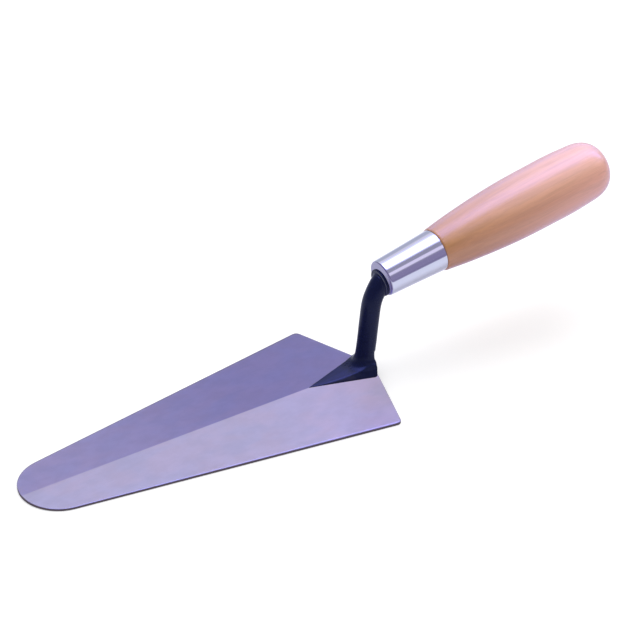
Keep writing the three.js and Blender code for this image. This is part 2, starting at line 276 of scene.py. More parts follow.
def blade_piece():
    """Two flat ground halves that meet in a ridge, narrow upright edges and eased arrises."""
    outer = half_outline()
    inner = [tuple(p) for p in inward(outer, EDGE_BREAK)]
    # Fractions of the half width, closest together at the ridge.
    rows = [0.0, 0.004, 0.01, 0.02, 0.04, 0.08, 0.14, 0.22, 0.34, 0.5, 0.7, 0.84, 0.93, 0.97, 1.0]
    points, index, faces = [], {}, []

    def point(x, y, z):
        key = (round(x, 5), round(y, 5), round(z, 5))
        if key not in index:
            index[key] = len(points)
            points.append((x, y, z))
        return index[key]

    def strip(curve_a, curve_b, flip):
        for i in range(len(curve_a) - 1):
            corners = [curve_a[i], curve_a[i + 1], curve_b[i + 1], curve_b[i]]
            ids = [point(*c) for c in corners]
            ids = [c for k, c in enumerate(ids) if c != ids[k - 1]]
            if len(ids) > 2:
                faces.append(ids[::-1] if flip else ids)

    for sign in (1, -1):
        flip = sign < 0
        curves = []
        for t in rows:
            curves.append([(x, sign * y * t, worn_top(x, y * t)) for x, y in inner])
        curves.append([
            # The middle of the eased arris, which bulges towards the corner.
            (lerp(a[0], b[0], 0.7), sign * lerp(a[1], b[1], 0.7), worn_top(*b) - EDGE_BREAK * 0.3)
            for a, b in zip(inner, outer)
        ])
        curves.append([(x, sign * y, worn_top(x, y) - EDGE_BREAK) for x, y in outer])
        curves.append([(x, sign * y, EDGE_BREAK) for x, y in outer])
        curves.append([(a[0], sign * a[1], 0.0) for a in inner])
        for t in rows[::-1][1:]:
            curves.append([(x, sign * y * t, 0.0) for x, y in inner])
        for a, b in zip(curves, curves[1:]):
            strip(a, b, flip)

    piece = make_object("blade_plate", points, faces)
    mesh = piece.data
    mesh.set_sharp_from_angle(angle=BLADE_SEAM_ANGLE)

    # Each point carries its distance from the outline, for the wear along the rim.
    outline = np.array(outer)
    plan = np.array(points)[:, :2]
    plan[:, 1] = np.abs(plan[:, 1])
    nearest = np.full(len(plan), 1e9)
    for a, b in zip(outline, outline[1:]):
        span = b - a
        t = np.clip(((plan - a) @ span) / (span @ span), 0, 1)
        nearest = np.minimum(nearest, np.linalg.norm(plan - (a + t[:, None] * span), axis=1))
    rim = mesh.attributes.new("rim_distance", "FLOAT", "POINT")
    rim.data.foreach_set("value", nearest.astype(np.float32))
    return piece


# ---- Shank ---------------------------------------------------------------------------------------
# One forging, described as a distance field (millimetres, negative inside) and then skinned.


def soft_max(a, b, reach):
    """The larger of two fields, rounded where they cross."""
    overlap = np.maximum(reach - np.abs(a - b), 0) / reach
    return np.maximum(a, b) + overlap * overlap * reach / 4


def soft_min(a, b, reach):
    return -soft_max(-a, -b, reach)


def round_corner(a, b, radius):
    """The corner of two half-planes, rounded to a radius."""
    outside = np.hypot(np.maximum(a + radius, 0), np.maximum(b + radius, 0))
    return np.minimum(-radius, np.maximum(a, b)) + outside


FOOT_HEEL_X = HEEL_POINT_X - FOOT_HEEL_INSET
FOOT_CORNER_X = FOOT_HEEL_X - HEEL_DEPTH * FOOT_HALF_WIDTH / (BLADE_WIDTH / 2)


def foot_plan(x, side):
    """Field of the foot's outline in plan: two long flanks and a back that follows the heel's V."""
    flank = np.array([FOOT_CORNER_X - FOOT_TIP_X, FOOT_HALF_WIDTH])
    flank /= np.linalg.norm(flank)
    beside = side * flank[0] - (x - FOOT_TIP_X) * flank[1]
    heel = np.array([-HEEL_DEPTH, BLADE_WIDTH / 2])
    heel /= np.linalg.norm(heel)
    eased_side = np.sqrt(side * side + FOOT_POINT_EASE ** 2)
    behind = (x - FOOT_HEEL_X) * heel[1] - eased_side * heel[0]
    return round_corner(beside, behind, FOOT_CORNER_RADIUS)


def foot_field(x, side, z):
    """The foot without its underside: an upright rim, steep flanks that grow towards the heel, and
    a top that rises slightly to the centreline."""
    t = np.maximum((x - FOOT_TIP_X) / (FOOT_CORNER_X - FOOT_TIP_X), 0)
    half_width = FOOT_HALF_WIDTH * t
    rim_z = blade_top(x, 0) - RIDGE_FALL * half_width + FOOT_RIM
    inward_by = half_width - side
    above_flank = (z - rim_z - FOOT_FLANK_SLOPE * inward_by) / math.hypot(1, FOOT_FLANK_SLOPE)
    bench_z = rim_z + FOOT_BENCH_AT_HEEL * t ** FOOT_BENCH_POWER
    above_top = np.maximum(z - bench_z - FOOT_TOP_SLOPE * inward_by, z - FOOT_CROWN_Z)
    roof = soft_max(above_flank, above_top, FOOT_ARRIS)
    return soft_max(foot_plan(x, side), roof, FOOT_ARRIS)


def below_handle_axis(distance, drop):
    """x and z of a point on the centreline, drop below the handle's axis."""
    x, _, z = place_on_handle_axis(distance, 0, -drop)
    return x, z


POST_PATH = catmull_rom(
    [
        (POST_BASE_X, 0.0),
        (POST_BASE_X, POST_BASE_Z),
        *POST_BEND,
        below_handle_axis(-COLLAR_THICKNESS / 2, COLLAR_DROP),
        below_handle_axis(COLLAR_THICKNESS, COLLAR_DROP / 2),
    ],
    10,
)


def post_field(x, side, z):
    """A round bar along the bent post, flaring where it grows out of the foot."""
    nearest = None
    for (ax, az), (bx, bz) in zip(POST_PATH, POST_PATH[1:]):
        dx, dz = bx - ax, bz - az
        t = np.clip(((x - ax) * dx + (z - az) * dz) / (dx * dx + dz * dz), 0, 1)
        away = (x - ax - t * dx) ** 2 + (z - az - t * dz) ** 2
        nearest = away if nearest is None else np.minimum(nearest, away)
    t = np.clip((z - POST_FLARE_BASE_Z) / (POST_FLARE_TOP_Z - POST_FLARE_BASE_Z), 0, 1)
    radius = POST_RADIUS + (POST_FLARE_RADIUS - POST_RADIUS) * (1 - t) ** POST_FLARE_POWER
    bar = np.sqrt(nearest + side * side) - radius
    trimmed = soft_max(bar, foot_plan(x, side), POST_FLARE_TRIM)
    return np.where(z < POST_FLARE_TOP_Z, trimmed, bar)


def shank_field(x, y, z):
    side = np.sqrt(y * y + 1e-4)  # |y|, without a crease on the centreline
    along = (x - FERRULE_FRONT[0]) * HANDLE_COS + (z - FERRULE_FRONT[1]) * HANDLE_SIN
    above = (z - FERRULE_FRONT[1]) * HANDLE_COS - (x - FERRULE_FRONT[0]) * HANDLE_SIN

    body = soft_min(foot_field(x, side, z), post_field(x, side, z), POST_BLEND)
    below_foot = blade_top(x, 0) - RIDGE_FALL * side - FOOT_SUNK - z
    body = np.maximum(body, below_foot)

    around = np.hypot(above + COLLAR_DROP, y)
    disc = round_corner(
        np.abs(along + COLLAR_THICKNESS / 2) - COLLAR_THICKNESS / 2,
        around - COLLAR_RADIUS,
        COLLAR_ROUNDING,
    )
    swell = np.clip((along + COLLAR_THICKNESS + NECK_SWELL) / NECK_SWELL, 0, 1)
    neck = around - (POST_RADIUS + (NECK_RADIUS - POST_RADIUS) * swell ** NECK_SWELL_POWER)
    neck = np.maximum(neck, -(along + COLLAR_THICKNESS + NECK_SWELL))
    neck = np.maximum(neck, along + COLLAR_THICKNESS / 2)
    body = soft_min(body, soft_min(neck, disc, COLLAR_BLEND), COLLAR_BLEND)
    body = soft_max(body, along, COLLAR_SEAT)

    half_side = lerp(TANG_FRONT_SIDE, TANG_POINT_SIDE, np.clip(along / TANG_END, 0, 1)) / 2
    tang = round_corner(side - half_side, np.abs(above) - half_side, TANG_ROUNDING)
    tang = round_corner(tang, along - TANG_END, TANG_ROUNDING)
    tang = np.maximum(tang, -COLLAR_THICKNESS / 2 - along)
    return np.minimum(body, tang)


def surface_net(field, axes):
    """Skins the zero surface of a field with quads, one point for each cell the surface crosses."""
    x, y, z = np.meshgrid(*axes, indexing="ij", sparse=True)
    values = np.broadcast_to(field(x, y, z), [len(a) for a in axes])
    inside = values < 0
    n = [len(a) - 1 for a in axes]

    def corner(array, i, j, k):
        return array[i:i + n[0], j:j + n[1], k:k + n[2]]

    offsets = [(i, j, k) for i in (0, 1) for j in (0, 1) for k in (0, 1)]
    count = sum(corner(inside, *o).astype(np.int8) for o in offsets)
    cells = np.argwhere((count > 0) & (count < 8))
    number = np.full(n, -1, np.int64)
    number[tuple(cells.T)] = np.arange(len(cells))

    total = np.zeros((len(cells), 3))
    hits = np.zeros(len(cells))
    for a in offsets:
        for axis in range(3):
            if a[axis]:
                continue
            b = tuple(v + (m == axis) for m, v in enumerate(a))
            va = values[tuple((cells + a).T)]
            vb = values[tuple((cells + b).T)]
            crossed = (va < 0) != (vb < 0)
            t = np.where(crossed, va / np.where(crossed, va - vb, 1), 0)
            place = np.array(a, float)[None, :].repeat(len(cells), 0)
            place[:, axis] += t
            total += place * crossed[:, None]
            hits += crossed
    inner = total / hits[:, None]
    ends = [(a[c], a[c + 1]) for a, c in zip(axes, cells.T)]
    points = np.stack([lerp(a, b, t) for (a, b), t in zip(ends, inner.T)], axis=1)

    faces = []
    for axis in range(3):
        u, v = (axis + 1) % 3, (axis + 2) % 3
        here = [slice(None)] * 3
        there = [slice(None)] * 3
        here[axis], there[axis] = slice(0, -1), slice(1, None)
        change = inside[tuple(here)].astype(np.int8) - inside[tuple(there)].astype(np.int8)
        for sense in (1, -1):
            edges = np.argwhere(change == sense)
            ring = []
            for du, dv in ((-1, -1), (0, -1), (0, 0), (-1, 0)):
                cell = edges.copy()
                cell[:, u] += du
                cell[:, v] += dv
                ring.append(number[tuple(cell.T)])
            quads = np.stack(ring, axis=1)
            faces.append(quads if sense > 0 else quads[:, ::-1])
    return points, np.concatenate(faces)


def slope(field, points, h=0.01):
    """The field's gradient, by differences over h to either side."""
    out = np.empty_like(points)
    for axis in range(3):
        ahead, behind = points.copy(), points.copy()
        ahead[:, axis] += h
        behind[:, axis] -= h
        out[:, axis] = (field(*ahead.T) - field(*behind.T)) / (2 * h)
    return out


def shank_piece():
    """Foot, post, collar and tang in one skin."""
    margin = 1.0
    low, high = [np.array(corner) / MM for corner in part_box("shank")]
    low, high = low - margin, high + margin
    axes = [np.arange(a, b + SKIN_STEP, SKIN_STEP) for a, b in zip(low, high)]
    fine = np.arange(low[2], SKIN_FINE_BELOW_Z, SKIN_STEP / 3)
    coarse = np.arange(SKIN_FINE_BELOW_Z, high[2] + SKIN_STEP, SKIN_STEP)
    axes[2] = np.concatenate([fine, coarse])
    points, faces = surface_net(shank_field, axes)

    # Newton's method draws the points onto the surface. No move is long, so none jumps across.
    longest_move, smallest_size = 0.15, 0.2
    for _ in range(3):
        gradient = slope(shank_field, points)
        size = np.maximum((gradient ** 2).sum(1), smallest_size)
        move = -shank_field(*points.T)[:, None] * gradient / size[:, None]
        length = np.linalg.norm(move, axis=1)[:, None]
        points += move * np.minimum(1, longest_move / np.maximum(length, 1e-9))

    piece = make_object("forged_shank", points, faces.tolist())
    normals = slope(shank_field, points, 0.06)  # over a wider reach, so that shading is smooth
    normals /= np.linalg.norm(normals, axis=1)[:, None]
    piece.data.normals_split_custom_set_from_vertices(normals.tolist())
    return piece


# ---- Ferrule and handle --------------------------------------------------------------------------


def ferrule_radius(distance):
    half = FERRULE_LENGTH / 2
    if distance < half:
        return lerp(FERRULE_FRONT_RADIUS, FERRULE_MIDDLE_RADIUS, distance / half)
    return lerp(FERRULE_MIDDLE_RADIUS, FERRULE_BACK_RADIUS, (distance - half) / half)


def ferrule_piece():
    """A drawn tube, its front rolled in round the tang and its back edge eased."""
    mouth, mouth_break = FERRULE_MOUTH_RADIUS, FERRULE_MOUTH_BREAK
    lip = (FERRULE_LIP, ferrule_radius(FERRULE_LIP))
    back = FERRULE_LENGTH - FERRULE_BACK_EASE
    profile = [(FERRULE_WALL, mouth), (mouth_break, mouth), (0.0, mouth + mouth_break)]
    profile += bezier([(0, FERRULE_FACE_RADIUS), (0, FERRULE_FRONT_RADIUS), lip], 12)
    stations = [3, 6, 9, 12, 14, 16, 18, 21, 24, 27, back]
    profile += [(d, ferrule_radius(d)) for d in stations]
    profile += bezier(
        [
            (back, ferrule_radius(back)),
            (FERRULE_LENGTH, FERRULE_BACK_RADIUS),
            (FERRULE_LENGTH, FERRULE_BACK_RADIUS - FERRULE_BACK_EASE),
        ],
        4,
    )[1:]
    bore_stations = (FERRULE_LENGTH, 20, 15, 8, FERRULE_LIP)
    profile += [(d, ferrule_radius(d) - FERRULE_WALL) for d in bore_stations]
    profile += [(FERRULE_WALL, FERRULE_FACE_RADIUS - FERRULE_WALL)]
    piece = lathe("ferrule_shell", profile + profile[:1], 144)
    piece.data.set_sharp_from_angle(angle=LATHE_SEAM_ANGLE)
    return piece


def handle_piece():
    """Turned wood: blind hole, spigot, shoulder, swelling grip and blunt domed end."""
    shoulder = FERRULE_LENGTH + SHOULDER_GAP
    dome = HANDLE_END - DOME_LENGTH
    inset = FERRULE_WALL + FIT_GAP
    hole_end = TANG_END + FIT_GAP
    grip = [(shoulder + d, r) for d, r in (GRIP_FRONT, *GRIP_SWELL)]
    profile = [(hole_end, 0.0), (hole_end, HOLE_END_RADIUS)]
    profile += [(d, lerp(HOLE_RADIUS, HOLE_END_RADIUS, d / hole_end)) for d in (50, 35, 20)]
    profile += [(SPIGOT_START, HOLE_RADIUS)]
    profile += [(d, ferrule_radius(d) - inset) for d in (SPIGOT_START, 15, FERRULE_LENGTH)]
    profile += [(shoulder, ferrule_radius(FERRULE_LENGTH) - inset), (shoulder, SHOULDER_RADIUS)]
    corner = [(shoulder, SHOULDER_RADIUS), (shoulder, SHOULDER_CORNER_RADIUS), grip[0]]
    profile += bezier(corner, 6)[1:]
    profile += catmull_rom([*grip, (dome, DOME_RADIUS)], 12)[1:]
    profile += bezier(
        [
            (dome, DOME_RADIUS),
            # The next two points set how blunt the dome is.
            (HANDLE_END - DOME_LENGTH / 3, DOME_RADIUS - 0.4),
            (HANDLE_END, DOME_RADIUS * 0.74),
            (HANDLE_END, 0.0),
        ],
        36,
    )[1:]
    piece = lathe("wood_grip", profile, 160)
    piece.data.set_sharp_from_angle(angle=LATHE_SEAM_ANGLE)
    return piece


# ---- Materials -----------------------------------------------------------------------------------

# Where there are two colours, noise or the place on the part mixes them.
STEEL = (0.483, 0.458, 0.453)
STEEL_CLOUD = (0.520, 0.463, 0.442)
STEEL_RIM = (0.56, 0.54, 0.58)    # where the rim is rubbed brighter
# Painted shade: the upright cut edge and its eased arris are painted dark, in place of the shade
# and dark reflection along them.
STEEL_EDGE_PAINTED_SHADE = (0.16, 0.13, 0.13)   # the upright cut edge
# Painted reflection: the far half is painted darker and violet, most near the heel, and the near
# half pinker and brighter towards the heel, for how each ground half mirrors the studio.
FAR_HALF_PAINTED_SHADE = ((0.77, 0.75, 1.0), (0.55, 0.54, 0.84))  # near the nose, near the heel
NEAR_HALF_PAINTED_LIGHT = ((1.0, 0.99, 1.0), (1.11, 1.04, 1.11))

PAINT = ((0.003, 0.006, 0.030), (0.005, 0.009, 0.042))
PAINT_RUBBED = (0.05, 0.05, 0.07)
# Painted highlight: the front of the foot is painted lighter, in place of the overhead light it
# reflects.
PAINT_FRONT_PAINTED_HIGHLIGHT = ((0.034, 0.038, 0.066), (0.052, 0.056, 0.088))

CHROME = ((0.78, 0.79, 0.87), (0.83, 0.84, 0.90))
# Painted shade: the rolled front is painted darker, in place of the dark it mirrors.
CHROME_ROLLED_PAINTED_SHADE = (0.43, 0.40, 0.52)

WOOD_FRONT = (0.458, 0.199, 0.027)
WOOD_BACK = (0.78, 0.405, 0.24)
WOOD_WANDER = (0.72, 0.38, 0.21)
WOOD_END = (0.88, 0.465, 0.30)


def feed(tree, node, inputs):
    """Fills inputs of a node. A socket is linked, anything else becomes the input's value."""
    for key, value in inputs.items():
        if isinstance(value, bpy.types.NodeSocket):
            tree.links.new(value, node.inputs[key])
        else:
            node.inputs[key].default_value = value


def wire(tree, kind, inputs=None, **settings):
    """Adds a node with the given settings and inputs."""
    node = tree.nodes.new(kind)
    for key, value in settings.items():
        setattr(node, key, value)
    feed(tree, node, inputs or {})
    return node


def math_node(tree, operation, a, b):
    return wire(tree, "ShaderNodeMath", {0: a, 1: b}, operation=operation).outputs[0]


def map_range(tree, value, low, high, to_low=0.0, to_high=1.0, kind="SMOOTHSTEP"):
    inputs = {"Value": value, "From Min": low, "From Max": high}
    inputs |= {"To Min": to_low, "To Max": to_high}
    return wire(tree, "ShaderNodeMapRange", inputs, interpolation_type=kind).outputs[0]


def mix(tree, factor, a, b, blend="MIX"):
    """Mixes two colours, each a socket or three numbers."""
    a, b = [(*colour, 1.0) if isinstance(colour, tuple) else colour for colour in (a, b)]
    inputs = {0: factor, 6: a, 7: b}
    return wire(tree, "ShaderNodeMix", inputs, data_type="RGBA", blend_type=blend).outputs[2]


def shaded(tree, colour, shade):
    """A colour multiplied by one number."""
    grey = wire(tree, "ShaderNodeCombineColor", {0: shade, 1: shade, 2: shade}).outputs[0]
    return mix(tree, 1.0, colour, grey, "MULTIPLY")


def component(tree, vector, axis):
    return wire(tree, "ShaderNodeSeparateXYZ", {0: vector}).outputs[axis]


def noise(tree, coords, scale, detail, roughness, distortion=0.0):
    """Noise with about scale features to a millimetre. Three numbers stretch it along the axes."""
    if isinstance(scale, tuple):
        coords = wire(tree, "ShaderNodeMapping", {"Vector": coords, "Scale": scale}).outputs[0]
        scale = 1.0
    inputs = {"Vector": coords, "Scale": scale, "Detail": detail, "Roughness": roughness}
    inputs["Distortion"] = distortion
    return wire(tree, "ShaderNodeTexNoise", inputs).outputs["Fac"]


def bump(tree, height, strength, distance):
    inputs = {"Height": height, "Strength": strength, "Distance": distance * MM}
    return wire(tree, "ShaderNodeBump", inputs).outputs[0]


def new_material(name, along_handle=False):
    """A node material with one Principled shader. Returns it, its tree, shader and coordinates in
    millimetres, which run along the handle's axis where asked."""
    material = bpy.data.materials.new(name)
    material.use_nodes = True
    tree = material.node_tree
    tree.nodes.clear()
    shader = tree.nodes.new("ShaderNodeBsdfPrincipled")
    wire(tree, "ShaderNodeOutputMaterial", {"Surface": shader.outputs[0]})
    place = tree.nodes.new("ShaderNodeTexCoord").outputs["Object"]
    frame_of = {"Vector": place, "Scale": (MM, MM, MM)}
    if along_handle:
        frame_of["Location"] = (FERRULE_FRONT[0] * MM, 0, FERRULE_FRONT[1] * MM)
        frame_of["Rotation"] = (0, -HANDLE_TILT, 0)
    coords = wire(tree, "ShaderNodeMapping", frame_of, vector_type="TEXTURE").outputs[0]
    return material, tree, shader, coords


def blade_steel():
    """Satin ground carbon steel: cloudy grind, fine lengthwise scratches and a cut edge painted
    dark, a painted shade. As painted reflection the far half, +Y, is painted darker and the near
    half pinker and brighter towards the heel."""
    material, tree, shader, coords = new_material("blade_steel")
    clouds = noise(tree, coords, (0.05, 0.09, 0.09), 3.0, 0.5, 0.3)
    blotches = noise(tree, coords, (0.14, 0.22, 0.22), 4.0, 0.6)
    scratches = noise(tree, coords, (0.06, 4.0, 4.0), 3.0, 0.65)
    colour = mix(tree, map_range(tree, clouds, 0.35, 0.65), STEEL, STEEL_CLOUD)
    shade = map_range(tree, blotches, 0.3, 0.7, 0.965, 1.035)
    scored = map_range(tree, scratches, 0.2, 0.8, 0.98, 1.02, "LINEAR")
    colour = shaded(tree, colour, math_node(tree, "MULTIPLY", shade, scored))

    normal = tree.nodes.new("ShaderNodeNewGeometry").outputs["Normal"]
    # Painted reflection: each half of the ridge is painted by the way its face looks, the far half
    # darker.
    on_far_half = map_range(tree, component(tree, normal, 1), -0.028, 0.028)
    lengthwise = component(tree, coords, 0)
    far_painted_shade = mix(tree, map_range(tree, lengthwise, -145, -25), *FAR_HALF_PAINTED_SHADE)
    near_painted_light = mix(tree, map_range(tree, lengthwise, -60, 5), *NEAR_HALF_PAINTED_LIGHT)
    half_painted_reflection = mix(tree, on_far_half, near_painted_light, far_painted_shade)
    colour = mix(tree, 1.0, colour, half_painted_reflection, "MULTIPLY")

    rim = wire(tree, "ShaderNodeAttribute", attribute_name="rim_distance").outputs["Fac"]
    worn = math_node(tree, "MULTIPLY", map_range(tree, rim, 3.0, 0.3), blotches)
    colour = mix(tree, math_node(tree, "MULTIPLY", worn, 0.15), colour, STEEL_RIM)
    # Painted shade: faces that turn upright, the cut edge and its arris, are painted dark.
    upright = map_range(tree, component(tree, normal, 2), 0.999, 0.96)
    colour = mix(tree, upright, colour, STEEL_EDGE_PAINTED_SHADE)

    rough = map_range(tree, blotches, 0.25, 0.75, 0.35, 0.37, "LINEAR")
    scored = map_range(tree, scratches, 0.3, 0.7, -0.01, 0.01, "LINEAR")
    rough = math_node(tree, "ADD", rough, scored)
    rough = math_node(tree, "ADD", rough, math_node(tree, "MULTIPLY", upright, 0.2))
    feed(tree, shader, {
        "Base Color": colour,
        "Roughness": rough,
        "Normal": bump(tree, scratches, 0.05, 0.02),
        "Metallic": 0.88,
    })
    return material


def black_paint():
    """Dipped navy-black gloss paint with orange peel. Over the front of the foot it is painted
    lighter, metallic and rougher, a painted highlight for the overhead light it reflects, and
    rubbed along the foot's rim."""
    material, tree, shader, coords = new_material("black_paint")
    peel = noise(tree, coords, 0.7, 2.0, 0.5)
    dust = noise(tree, coords, 0.22, 4.0, 0.6)
    specks = noise(tree, coords, 2.6, 2.0, 0.5)
    streaks = noise(tree, coords, (0.25, 0.9, 0.9), 3.0, 0.55)

    low = map_range(tree, component(tree, coords, 2), 4.6, 2.6)
    rubbed = math_node(tree, "MULTIPLY", map_range(tree, specks, 0.62, 0.72), low)
    colour = mix(tree, dust, *PAINT)
    colour = mix(tree, math_node(tree, "MULTIPLY", rubbed, 0.3), colour, PAINT_RUBBED)

    # Painted highlight: the front of the foot, behind a ragged border, is painted lighter, metallic
    # and rougher.
    ragged = map_range(tree, streaks, 0.3, 0.7, -1.5, 1.5, "LINEAR")
    front = math_node(tree, "ADD", component(tree, coords, 0), ragged)
    painted_highlight_front = map_range(tree, front, 8.0, 3.5)
    colour = mix(tree, painted_highlight_front, colour, mix(tree, streaks, *PAINT_FRONT_PAINTED_HIGHLIGHT))

    rough = map_range(tree, dust, 0.3, 0.7, 0.24, 0.32, "LINEAR")
    rough = math_node(tree, "ADD", rough, math_node(tree, "MULTIPLY", painted_highlight_front, 0.2))
    feed(tree, shader, {
        "Base Color": colour,
        "Roughness": rough,
        "Normal": bump(tree, peel, 0.08, 0.06),
        "Metallic": math_node(tree, "MULTIPLY", painted_highlight_front, 0.9),
        "Specular IOR Level": 0.26,
        "Specular Tint": (0.72, 0.76, 1.0, 1.0),
    })
    return material


def chrome_plate():
    """Bright plate over a drawn tube, with faint draw marks round it, a little haze and a rolled
    front that is rougher, as duller plate, and painted darker, a painted shade for the dark it
    mirrors."""
    material, tree, shader, coords = new_material("chrome_plate", along_handle=True)
    haze = noise(tree, coords, 0.16, 3.0, 0.55)
    marks = noise(tree, coords, (5.0, 0.08, 0.08), 2.0, 0.6)
    rolled_face = map_range(tree, component(tree, coords, 0), 0.7, 0.25)
    rough = map_range(tree, haze, 0.3, 0.7, 0.07, 0.12, "LINEAR")
    rough = math_node(tree, "ADD", rough, math_node(tree, "MULTIPLY", rolled_face, 0.14))
    feed(tree, shader, {
        # Painted shade: the rolled front is painted darker; its added roughness is duller plate.
        "Base Color": mix(tree, rolled_face, mix(tree, haze, *CHROME), CHROME_ROLLED_PAINTED_SHADE),
        "Roughness": rough,
        "Normal": bump(tree, marks, 0.06, 0.02),
        "Metallic": 1.0,
    })
    return material


def varnished_wood():
    """Pale close-grained hardwood under clear varnish: long grain and fine pores. It is darker at
    the ferrule and palest at its end."""
    material, tree, shader, coords = new_material("varnished_wood", along_handle=True)
    wander = noise(tree, coords, (0.012, 0.07, 0.07), 3.0, 0.5, 0.4)
    grain = noise(tree, coords, (0.03, 0.55, 0.55), 5.0, 0.6, 0.6)
    fine = noise(tree, coords, (0.10, 3.2, 3.2), 4.0, 0.65)
    pores = noise(tree, coords, (0.25, 5.5, 5.5), 2.0, 0.5)

    along = component(tree, coords, 0)
    back = map_range(tree, along, FERRULE_LENGTH, FERRULE_LENGTH + 70, kind="LINEAR")
    colour = mix(tree, back, WOOD_FRONT, WOOD_BACK)
    colour = mix(tree, map_range(tree, wander, 0.35, 0.65, 0.0, 0.35), colour, WOOD_WANDER)
    colour = mix(tree, map_range(tree, along, 95, HANDLE_END), colour, WOOD_END)

    shade = map_range(tree, grain, 0.3, 0.7, 0.91, 1.06)
    fine_shade = map_range(tree, fine, 0.3, 0.7, 0.96, 1.03, "LINEAR")
    shade = math_node(tree, "MULTIPLY", shade, fine_shade)
    shade = math_node(tree, "MULTIPLY", shade, map_range(tree, pores, 0.66, 0.78, 1.0, 0.84))
    feed(tree, shader, {
        "Base Color": shaded(tree, colour, shade),
        "Roughness": map_range(tree, fine, 0.3, 0.7, 0.36, 0.46, "LINEAR"),
        "Normal": bump(tree, fine, 0.10, 0.03),
        "Coat Weight": 1.0,
        "Coat Roughness": 0.24,
        "Coat IOR": 1.55,
        "Sheen Weight": 0.35,
        "Sheen Roughness": 0.45,
        "Sheen Tint": (0.58, 0.36, 1.0, 1.0),
    })
    return material


# ---- Studio --------------------------------------------------------------------------------------

CAMERA_AZIMUTH = math.radians(-33.68)
CAMERA_ELEVATION = math.radians(32.57)
CAMERA_ROLL = math.radians(0.495)
CAMERA_AIM = (-13.60, -0.47, 42.30)
CAMERA_DISTANCE = 877.5
CAMERA_LENS = 115.2               # on the usual 36 mm sensor

KEY_PLACE = (0.25, 0.35, 1.5)     # metres
KEY_SIZE = 1.3                    # metres
KEY_POWER = 16.0
DAYLIGHT = (0.62, 0.62, 0.6324)   # what matt surfaces receive from all round
BACKGROUND = (1.0, 1.0, 1.0)

# What reflections see of the studio.
FAR_WALL = (0.76, 0.74, 0.90)
FAR_WALL_LOW = (0.47, 0.49, 0.62)
NEAR_WALL = (0.33, 0.32, 0.44)
DARK_WALL = (0.26, 0.23, 0.40)
SOFTBOX = (1.28, 1.52, 5.5)
STRIP = (0.80, 0.74, 0.98)

GLOW_LENGTH = 2.4                 # metres
GLOW_ALONG = 0.39                 # how far back along the handle a glow stands, for a metre out
GLOWS = (                         # name, degrees round the handle, breadth in metres, power, colour
    ("far_glow", -56, 1.0, 12.5, (0.26, 0.36, 1.0)),
    ("near_glow", 27, 0.5, 6.0, (0.50, 0.50, 1.0)),
)

FLOOR_HALF_SIZE = 8.0             # metres
FLOOR_DROP = 0.05                 # how far it lies below the blade
FLOOR_CLEARANCE = 1.0             # it is clear to rays shorter than this
FLOOR_ALBEDO = (0.72, 0.72, 0.72)
FLOOR_BOUNCE = (0.76, 0.64, 0.90)     # the colour of the light it throws back on matt surfaces
FLOOR_MIRRORED = (0.68, 0.70, 0.84)   # its colour in reflections
FLOOR_DARKENS_Y = (-230, -380)    # between these it turns into the dark wall, in reflections
FLOOR_LIFT = 0.375                # makes the floor paler to the camera than its light alone would
FLOOR_LIFT_FAR = 0.56             # more so far out, where the key light fades
FLOOR_LIFT_GROWS = (0.3, 1.6)     # metres from the origin between which it does


def camera():
    a, e = CAMERA_AZIMUTH, CAMERA_ELEVATION
    back = Vector((math.sin(a) * math.cos(e), -math.cos(a) * math.cos(e), math.sin(e)))
    right = Vector((math.cos(a), math.sin(a), 0))
    up = back.cross(right)
    c, s = math.cos(CAMERA_ROLL), math.sin(CAMERA_ROLL)
    axes = Matrix((c * right + s * up, c * up - s * right, back)).transposed()
    data = bpy.data.cameras.new("camera")
    data.lens = CAMERA_LENS
    data.clip_start = 0.01
    body = bpy.data.objects.new("camera", data)
    body.location = (Vector(CAMERA_AIM) + back * CAMERA_DISTANCE) * MM
    body.rotation_euler = axes.to_euler()
    bpy.context.scene.collection.objects.link(body)
    bpy.context.scene.camera = body


